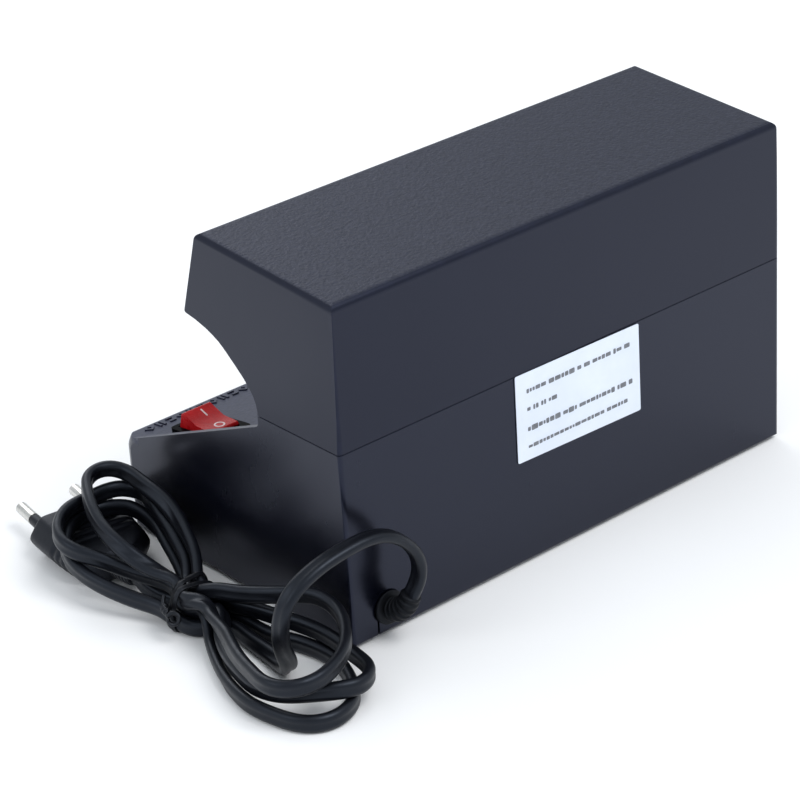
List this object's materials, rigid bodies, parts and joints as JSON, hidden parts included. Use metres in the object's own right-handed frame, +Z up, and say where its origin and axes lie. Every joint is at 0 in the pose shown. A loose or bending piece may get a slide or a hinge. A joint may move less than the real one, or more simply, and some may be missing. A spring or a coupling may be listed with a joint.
{
  "type": "counterfeit bill detector",
  "caption": "Hooded ultraviolet banknote checker with a sloping note desk, an end rocker switch and a tied mains lead with a two-pin plug.",
  "frame": {"origin": "on the counter, under the middle of the box of the unit without its lead", "axes": "+X towards the end with the rocker switch, +Y to the rear where the lead leaves, +Z up; a note is put in from -Y"},
  "size_m": [0.2286, 0.167, 0.1135],
  "materials": {
    "shell_plastic": "satin charcoal moulding with a slight gloss at the lower end",
    "hood_plastic": "charcoal moulding with a fine grained top",
    "cover_plastic": "matt charcoal",
    "foot_rubber": "matt black",
    "screw_steel": "zinc plated",
    "switch_black": "semi-gloss black",
    "switch_red": "translucent red, glossy",
    "contact_brass": "bright",
    "lamp_glass": "coated glass tube",
    "cap_aluminium": "satin",
    "pin_plating": "nickel plated",
    "holder_plastic": "off-white",
    "reflector_aluminium": "bright rolled sheet",
    "board_laminate": "brown paper laminate",
    "ferrite": "dark matt",
    "copper_winding": "enamelled copper wire",
    "capacitor_sleeve": "dark blue sleeve",
    "film_capacitor": "dipped brown-red",
    "transistor_epoxy": "matt black epoxy",
    "fuse_glass": "clear",
    "terminal_plastic": "green",
    "relief_rubber": "black ribbed",
    "label_paper": "white coated paper",
    "wire_brown": "brown insulation",
    "wire_blue": "blue insulation",
    "wire_white": "white insulation",
    "cord_sheath": "black, slightly glossy",
    "tie_plastic": "black coated wire tie",
    "plug_plastic": "black moulded"
  },
  "bodies": {
    "housing": {"lower_shell": "shell_plastic", "upper_shell": "hood_plastic", "bottom_cover": "cover_plastic", "rubber_foot_1": "foot_rubber", "rubber_foot_2": "foot_rubber", "rubber_foot_3": "foot_rubber", "rubber_foot_4": "foot_rubber", "cover_screw_1": "screw_steel", "cover_screw_2": "screw_steel", "cover_screw_3": "screw_steel", "cover_screw_4": "screw_steel", "hood_screw_1": "screw_steel", "hood_screw_2": "screw_steel", "hood_screw_3": "screw_steel", "hood_screw_4": "screw_steel", "switch_housing": "switch_black", "switch_terminal_1": "contact_brass", "switch_terminal_2": "contact_brass", "lamp_holder_right": "holder_plastic", "lamp_holder_left": "holder_plastic", "lamp_reflector": "reflector_aluminium", "reflector_screw_1": "screw_steel", "reflector_screw_2": "screw_steel", "ballast_board": "board_laminate", "board_screw_1": "screw_steel", "board_screw_2": "screw_steel", "board_screw_3": "screw_steel", "board_screw_4": "screw_steel", "choke_core": "ferrite", "choke_winding": "copper_winding", "filter_capacitor": "capacitor_sleeve", "resonant_capacitor": "film_capacitor", "power_transistor_1": "transistor_epoxy", "power_transistor_2": "transistor_epoxy", "board_fuse": "fuse_glass", "terminal_block": "terminal_plastic", "strain_relief": "relief_rubber", "rating_label": "label_paper", "lead_live": "wire_brown", "lead_neutral": "wire_blue", "lead_switch": "wire_brown", "lead_lamp_right": "wire_white", "lead_lamp_left": "wire_white", "mains_lead": "cord_sheath", "cord_hank": "cord_sheath", "twist_tie": "tie_plastic", "plug_body": "plug_plastic", "plug_pin_1": "pin_plating", "plug_pin_2": "pin_plating", "plug_lead": "cord_sheath"},
    "rocker": {"switch_rocker": "switch_red"},
    "lamp": {"lamp_tube": "lamp_glass", "lamp_cap_right": "cap_aluminium", "lamp_cap_left": "cap_aluminium", "lamp_pin_right_1": "pin_plating", "lamp_pin_right_2": "pin_plating", "lamp_pin_left_1": "pin_plating", "lamp_pin_left_2": "pin_plating"}
  },
  "joints": [
    {"name": "rocker_tilt", "type": "hinge", "parent": "housing", "child": "rocker", "pos_m": [0.0733, -0.03013, 0.03494], "axis": [1, 0, 0], "range_deg": [0, 32]},
    {"name": "lamp_quarter_turn", "type": "hinge", "parent": "housing", "child": "lamp", "pos_m": [0, 0.0045, 0.0962], "axis": [1, 0, 0], "range_deg": [0, 90]}
  ]
}
